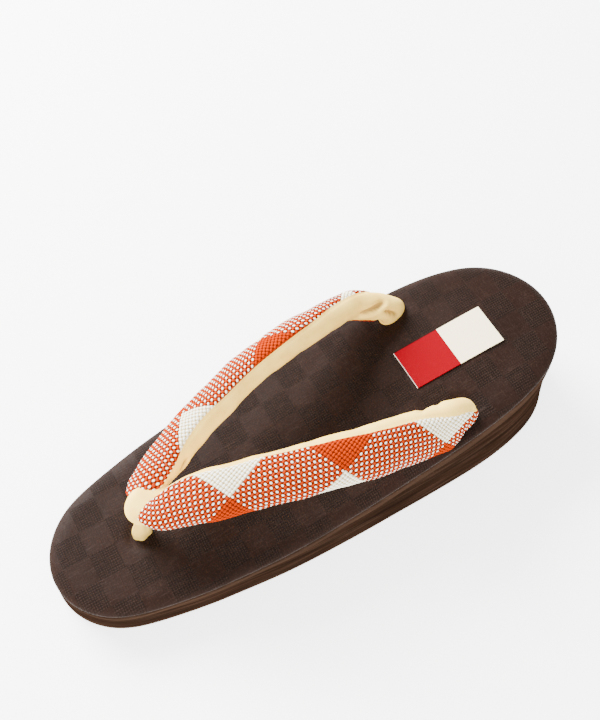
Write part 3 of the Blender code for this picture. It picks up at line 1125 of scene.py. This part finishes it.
    def floats(self, warp: Array, weft: Array) -> Array:
        """Height of the yarn on top: an oval dome on each cell.

        A cell shows its warp where the sum of its two numbers is even, and else its weft.

        Args:
            warp: warp counts.
            weft: weft counts.

        Returns:
            The height, from 0 to 1.
        """
        cells = np.floor(warp), np.floor(weft)
        offsets = warp - cells[0] - 0.5, weft - cells[1] - 0.5
        warp_up = sum(cells) % 2 == 0
        across, length = (np.where(warp_up, *pair) for pair in (offsets, offsets[::-1]))
        return np.sqrt(np.clip(1 - (across / self.float_across) ** 2 - (length / self.float_length) ** 2, 0, 1))

    def fold_depth(self, along: Array, around: Array) -> Array:
        """Soft troughs: bell curves across each fold, fading towards its ends, with a low ridge beside.

        Args:
            along: lengths along the skin.
            around: lengths around it.

        Returns:
            The depth, in millimetres.
        """
        depth = np.zeros_like(around)
        for fold in self.creases:
            turn = math.radians(fold.turn)
            on, off = along - fold.along, around - fold.around
            u = on * math.cos(turn) + off * math.sin(turn)
            v = off * math.cos(turn) - on * math.sin(turn)
            trough = bell(v / fold.width) - 0.4 * bell(v / fold.width - 2)
            depth += fold.depth * bell(2 * u / fold.length, 4) * trough
        return depth

    def past_seams(self, around: Array) -> Array:
        """Distance of each point from the nearer seam between its two cloths.

        Args:
            around: lengths around the skin.

        Returns:
            The distance, in millimetres.
        """
        first, last = around[:, :1], around[:, self.weave_columns - 1 : self.weave_columns]
        end = 2 * around[:, -1:] - around[:, -2:-1]
        near = np.minimum(np.abs(around - first), np.abs(around - last))
        lined = np.arange(around.shape[1]) >= self.weave_columns
        return np.where(lined, np.minimum(near, np.abs(end - around)), near)

    def build(self, name: str) -> bpy.types.Object:
        """Make the strap with its weave raised in the mesh and its two cloths as two materials.

        Args:
            name: the piece's name.

        Returns:
            The strap's object.
        """
        skin = self.bare_skin()
        along, around = self.skin_map(skin)
        counts = self.yarn_counts(along, around)
        to_seam = self.past_seams(around)
        inside = smooth_step(0.0, 1.2, to_seam)
        weave = self.weave_level_mm + self.relief_mm * self.floats(*counts) * (0.35 + 0.65 * inside)
        lining = 0.10 * inside - self.seam_depth_mm
        cloth = np.where(np.arange(skin.shape[1]) < self.weave_columns, weave, lining)
        folds = self.fold_depth(along, around)
        push = cloth + ripple(along + 0.6 * around, self.lumps_mm) - folds
        push -= self.seam_depth_mm * bell(to_seam / 0.7)
        push *= 0.3 + 0.7 * smooth_step(0, 6, along)
        normal = np.cross(np.gradient(skin, axis=0), np.roll(skin, -1, axis=1) - np.roll(skin, 1, axis=1))
        normal /= np.linalg.norm(normal, axis=2)[..., None] + 1e-12
        normal *= np.sign((normal * (skin - skin.mean(axis=1, keepdims=True))).sum(axis=2).mean())
        points = skin + normal * push[..., None] * MM
        fold = {"fold": np.clip(folds, 0, 1) ** 2}
        made = GridSkin(name, points, uv=np.stack(counts, axis=-1), attributes=fold, caps=True).build()
        self.split_cloths(made, skin.shape[1])
        return made

    def split_cloths(self, made: bpy.types.Object, columns: int) -> None:
        """Give the quads past the seams, and the two ends, the second material slot.

        Args:
            made: the strap's object.
            columns: the grid's columns.
        """
        slots = np.ones(len(made.data.polygons), dtype=np.int32)
        quads = (self.rows - 1) * columns
        slots[:quads] = np.arange(quads) % columns >= self.weave_columns - 1
        made.data.polygons.foreach_set("material_index", slots)


@dataclass
class ToeLoop:
    """The velvet loop: a post out of the footbed that widens into a hood."""

    last: Last
    post_along: float = 0.8335
    post_x: float = 1.6 * MM
    rise: float = 33.4 * MM
    width: float = 16.0 * MM
    length: float = 18.5 * MM
    lean: float = 5.8 * MM
    lean_across: float = 0.08
    diameter: float = 8.4 * MM
    depth: float = 6.0 * MM
    hole_radius: float = 4.4 * MM
    gathers: int = 5
    gather_depth: float = 0.25 * MM
    seam_depth: float = 0.5 * MM
    seam_angle: float = 4.9
    rows: int = 120
    columns: int = 96
    levels: tuple[Level, ...] = table(
        Level,
        (0.00, 0.00, 0.44, 0.34),
        (0.16, 0.10, 0.47, 0.37),
        (0.46, 0.50, 0.39, 0.33),
        (0.62, 0.76, 0.66, 0.60),
        (0.72, 0.94, 0.90, 0.88),
        (0.81, 1.10, 1.00, 1.00),
        (0.90, 1.38, 0.93, 0.96),
        (0.97, 1.62, 0.72, 0.76),
        (1.00, 1.72, 0.26, 0.30),
    )

    def base(self) -> Array:
        """Where the post meets the footbed."""
        return self.last.on_deck(self.post_x, self.post_along)

    def build(self) -> bpy.types.Object:
        """Make the loop, with the soft folds of a cloth tube gathered at its foot and under the hood.

        The folds are a cosine around the tube, strongest at the foot and 11 mm up, and a
        sunk seam runs up its side.

        Returns:
            The loop's object.
        """
        base = self.base()
        rise, lean, length, width = np.array(self.levels).T
        rise = np.append(-self.depth, self.rise * rise)
        lean = np.append(0.0, lean)
        length = np.append(self.diameter, self.length * length)
        width = np.append(self.diameter, self.width * width)
        marks = np.arange(len(rise), dtype=float)
        steps = np.linspace(0, marks[-1], self.rows)
        z = smooth_curve(steps, marks, rise)[:, None]
        angle = np.arange(self.columns)[None, :] * 2 * math.pi / self.columns
        gather = (bell(z / (3 * MM)) + bell((z - 11 * MM) / (3 * MM))) * self.gather_depth
        folds = np.cos(self.gathers * angle + 1.1 + 60 * z) * gather
        folds = folds - self.seam_depth * bell((angle - self.seam_angle) / 0.12) * bell((z - 8 * MM) / (9 * MM), 4)
        reach_x = smooth_curve(steps, marks, width)[:, None] / 2 + folds
        reach_y = smooth_curve(steps, marks, length)[:, None] / 2 + folds
        bend = smooth_curve(steps, marks, lean)[:, None]
        points = np.stack(
            [
                base[0] + self.lean_across * self.lean * bend + reach_x * np.cos(angle),
                base[1] + self.lean * bend + reach_y * np.sin(angle),
                np.broadcast_to(base[2] + z, reach_x.shape),
            ],
            axis=-1,
        )
        return GridSkin("toe_loop", points, caps=True).build()


@dataclass
class HeelLabel:
    """The bare two-colour label on the footbed."""

    last: Last
    along: float = 0.2065
    x: float = -0.7 * MM
    length: float = 42.5 * MM
    width: float = 19.5 * MM
    turn: float = 1.4
    thickness: float = 0.5 * MM
    lift: float = 0.55 * MM
    edge: float = 0.12 * MM
    wave: float = 0.06 * MM
    crease_degrees: float = 40.0
    rows: int = 60
    half_columns: int = 24

    def with_rims(self, size: float, count: int) -> Array:
        """Even places across a size about 0, with a close pair at each end for the cut edge.

        Args:
            size: the size.
            count: how many places.

        Returns:
            The places.
        """
        inner = np.linspace(self.edge - size / 2, size / 2 - self.edge, count - 2)
        return np.concatenate([[-size / 2], inner, [size / 2]])

    def build(self) -> bpy.types.Object:
        """Make the label as a closed thin slab that follows the footbed.

        The ring of a row runs over the face from left to right and back underneath.

        Returns:
            The label's object.
        """
        middle = self.last.y_at(self.along)
        y = middle + self.with_rims(self.length, self.rows)
        across = self.with_rims(self.width, self.half_columns)
        lean = math.tan(math.radians(self.turn))
        x = self.x + np.concatenate([across, across[::-1]])[None, :] + lean * (y - middle)[:, None]
        top = np.concatenate([np.full(self.half_columns, self.thickness), np.zeros(self.half_columns)])
        deck = self.last.deck_height(self.last.along_at(y))[:, None] + self.lift
        wave = self.wave * np.sin(y[:, None] / (6 * MM)) * np.cos(x / (5 * MM))
        z = deck + top[None, :] + wave
        points = np.stack([x, np.broadcast_to(y[:, None], z.shape), z], axis=-1)
        skin = GridSkin("heel_label_plate", points, caps=True)
        toe_end = np.isclose(y, middle - self.length / 2)
        skin.attributes["rim"] = toe_end[:, None].astype(float)
        made = skin.build()
        made.data.set_sharp_from_angle(angle=math.radians(self.crease_degrees))
        return made


@dataclass
class Studio:
    """Pale floor, soft lights, and the camera at the photo's angle to the shoe."""

    camera_at: tuple[float, float, float] = (0.14308, -0.08516, 0.39006)
    looks_at: tuple[float, float, float] = (-0.04868, 0.02235, 0.0)
    lens: float = 45.93
    key_power: float = 78.0
    fill_power: float = 16.0
    sky: float = 1.50
    reach: float = 4.0
    glow: float = 3.0

    def hang(self, name: str, data: bpy.types.ID, place: tuple, target: tuple) -> bpy.types.Object:
        """Add a camera or lamp that points at something.

        Args:
            name: its name.
            data: the camera's or lamp's data.
            place: where it hangs.
            target: what it points at.

        Returns:
            The object.
        """
        made = bpy.data.objects.new(name, data)
        made.location = place
        made.rotation_euler = (Vector(target) - Vector(place)).to_track_quat("-Z", "Y").to_euler()
        bpy.context.scene.collection.objects.link(made)
        return made

    def camera(self) -> None:
        """Add the camera, at the photo's angle and with all in focus."""
        data = bpy.data.cameras.new("photo_camera")
        data.lens = self.lens
        data.sensor_width = 36.0
        data.sensor_fit = "AUTO"
        data.clip_start = 0.01
        bpy.context.scene.camera = self.hang("photo_camera", data, self.camera_at, self.looks_at)

    def light(self, name: str, place: tuple[float, float, float], size: float, power: float) -> None:
        """Add a square area light that points at the shoe.

        Args:
            name: the light's name.
            place: where it hangs.
            size: its side.
            power: its power in watts.
        """
        data = bpy.data.lights.new(name, "AREA")
        data.size = size
        data.energy = power
        self.hang(name, data, place, (0.0, 0.0, 20 * MM))

    def floor(self) -> None:
        """Add the pale floor."""
        mesh = bpy.data.meshes.new("studio_floor")
        corners = [(x * self.reach, y * self.reach, 0) for x, y in ((-1, -1), (1, -1), (1, 1), (-1, 1))]
        mesh.from_pydata(corners, [], [(0, 1, 2, 3)])
        made = bpy.data.objects.new("studio_floor", mesh)
        bpy.context.scene.collection.objects.link(made)
        look = {"Roughness": 0.9, "Base Color": to_linear("#f4f4f4"), "Emission Color": to_linear("#ffffff")}
        material = Surface("pale_floor", {**look, "Emission Strength": self.glow}).material
        mesh.materials.append(material)

    def world(self) -> None:
        """Light everything softly from all around."""
        world = bpy.data.worlds.new("soft_room")
        bpy.context.scene.world = world
        world.use_nodes = True
        background = world.node_tree.nodes["Background"]
        background.inputs["Color"].default_value = (1.0, 1.0, 1.0, 1.0)
        background.inputs["Strength"].default_value = self.sky

    def build(self) -> None:
        """Set up the whole studio."""
        self.floor()
        self.world()
        self.light("key_window", (-0.90, -0.25, 0.72), 0.7, self.key_power)
        self.light("fill_card", (0.55, -0.75, 0.60), 0.9, self.fill_power)
        self.camera()


LEFT_STATIONS = table(
    Station,
    (-0.008, 0.082, 0.76, 14, 0.100, 0.249),
    (0.015, 0.200, 0.82, 14, 0.298, 0.606),
    (0.049, 0.305, 0.89, 14, 0.588, 0.820),
    (0.113, 0.370, 0.96, 18, 0.820, 0.938),
    (0.190, 0.464, 1.00, 22, 0.964, 1.001),
    (0.296, 0.615, 0.98, 26, 0.959, 1.028),
    (0.500, 0.883, 0.90, 32, 0.977, 1.032),
    (0.674, 1.060, 0.74, 40, 1.007, 1.003),
    (0.852, 1.160, 0.49, 58, 1.019, 0.938),
    (0.910, 1.176, 0.42, 68, 1.060, 0.960),
    (0.944, 1.110, 0.32, 82, 1.010, 0.960),
)
RIGHT_STATIONS = table(
    Station,
    (0.004, 0.125, 0.74, 15, 0.493, 0.480),
    (0.040, 0.176, 0.80, 17, 0.653, 0.660),
    (0.080, 0.228, 0.86, 22, 0.760, 0.818),
    (0.142, 0.345, 0.92, 28, 0.808, 0.943),
    (0.224, 0.486, 0.97, 34, 0.829, 1.000),
    (0.317, 0.635, 1.00, 39, 0.835, 1.025),
    (0.497, 0.875, 0.98, 47, 0.890, 1.019),
    (0.672, 1.025, 0.83, 54, 0.939, 1.034),
    (0.855, 1.180, 0.515, 66, 0.810, 0.885),
    (0.928, 1.127, 0.375, 76, 0.620, 0.881),
    (0.984, 1.053, 0.22, 86, 0.530, 0.901),
)
LEFT_INNER_SEAM = table(
    Share,
    (0.0, 168), (0.12, 154), (0.2, 148), (0.25, 146), (0.33, 150), (0.47, 147), (0.57, 143),
    (0.67, 140), (0.78, 143), (0.83, 135), (0.85, 131), (0.87, 138), (0.9, 158), (1.0, 170),
)
LEFT_OUTER_SEAM = table(Share, (0.0, -52), (0.5, -52), (1.0, -60))
RIGHT_INNER_SEAM = table(
    Share,
    (0.0, 178), (0.084, 171), (0.131, 166), (0.163, 157), (0.195, 150), (0.236, 147), (0.283, 150),
    (0.331, 156), (0.413, 160), (0.5, 163), (0.59, 161), (0.64, 160), (0.69, 155), (0.76, 153),
    (0.8, 151), (0.84, 132), (0.87, 110), (0.9, 90), (0.95, 82), (1.0, 80),
)
RIGHT_OUTER_SEAM = table(
    Share,
    (0.0, -52), (0.75, -50), (0.82, -54), (0.86, -58), (0.885, -48), (0.905, -10), (0.93, 20),
    (1.0, 30),
)
LEFT_CREASES = table(
    Crease,
    (129.9, 22.0, 55.0, 10.0, 1.3, 0.6),
    (137.9, 24.0, 65.0, 9.0, 1.2, 0.5),
)
RIGHT_CREASES = table(
    Crease,
    (138.8, 18.4, -35.0, 14.0, 1.3, 2.0),
    (148.9, 19.9, 12.0, 11.0, 1.1, 1.6),
    (23.5, 18.8, -15.0, 7.0, 1.0, 1.0),
)


def dress(piece: bpy.types.Object, node: str, slot: str, *finishes: bpy.types.Material) -> None:
    """Give a piece its materials, and say which solid it stands for.

    Args:
        piece: the finished object.
        node: the solid that it replaces.
        slot: not used.
        finishes: its materials, in slot order.
    """
    for finish in finishes:
        piece.data.materials.append(finish)
    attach(piece, "root")
    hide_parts(node)
    LOG.info("%s: %d faces for %s", piece.name, len(piece.data.polygons), node)


def main() -> None:
    """Build the sandal's pieces in order, then the studio."""
    logging.basicConfig(level=logging.INFO, format="%(name)s: %(message)s")
    last = Last()
    velvet = CreamVelvet().make()
    weave = ThickYarn().make()
    left = Strap(
        last,
        Side.LEFT,
        LEFT_STATIONS,
        LEFT_CREASES,
        LEFT_INNER_SEAM,
        LEFT_OUTER_SEAM,
        first_vertex_mm=44.3,
        vertex_around_mm=2.3,
        dot_along_mm=2.17,
        lean=0.20,
        neck_ahead=2.5 * MM,
    )
    right = Strap(
        last,
        Side.RIGHT,
        RIGHT_STATIONS,
        RIGHT_CREASES,
        RIGHT_INNER_SEAM,
        RIGHT_OUTER_SEAM,
        first_vertex_mm=39.4,
        vertex_around_mm=2.8,
        dot_along_mm=2.10,
        vertex_drift=0.055,
        hole_along=0.264,
        hole_x=29.0 * MM,
        neck_thickness=8.5 * MM,
        neck_ahead=-2.5 * MM,
    )
    loop = ToeLoop(last)
    label = HeelLabel(last)
    places = ((left.hole(), left.hole_radius), (right.hole(), right.hole_radius), (loop.base(), loop.hole_radius))
    holes = [(*point[:2], radius) for point, radius in places]
    dress(Outsole(last).build(), "outsole", "outsole_rubber", OutsoleRubber().make())
    dress(SoleBody(last).build(), "sole_body", "sole_foam", StreakedFoam().make())
    dress(FootbedCover(last).build(holes), "top_cover", "cover_sheet", CheckedSheet().make())
    for strap, name in ((left, "left_strap"), (right, "right_strap")):
        piece = strap.build(name)
        dress(piece, "straps", "strap_weave", weave, velvet)
    dress(loop.build(), "toe_post", "loop_velvet", velvet)
    dress(label.build(), "heel_label", "label_card", WovenLabel(middle_y=last.y_at(label.along)).make())
    Studio().build()


if __name__ == "__main__":
    main()
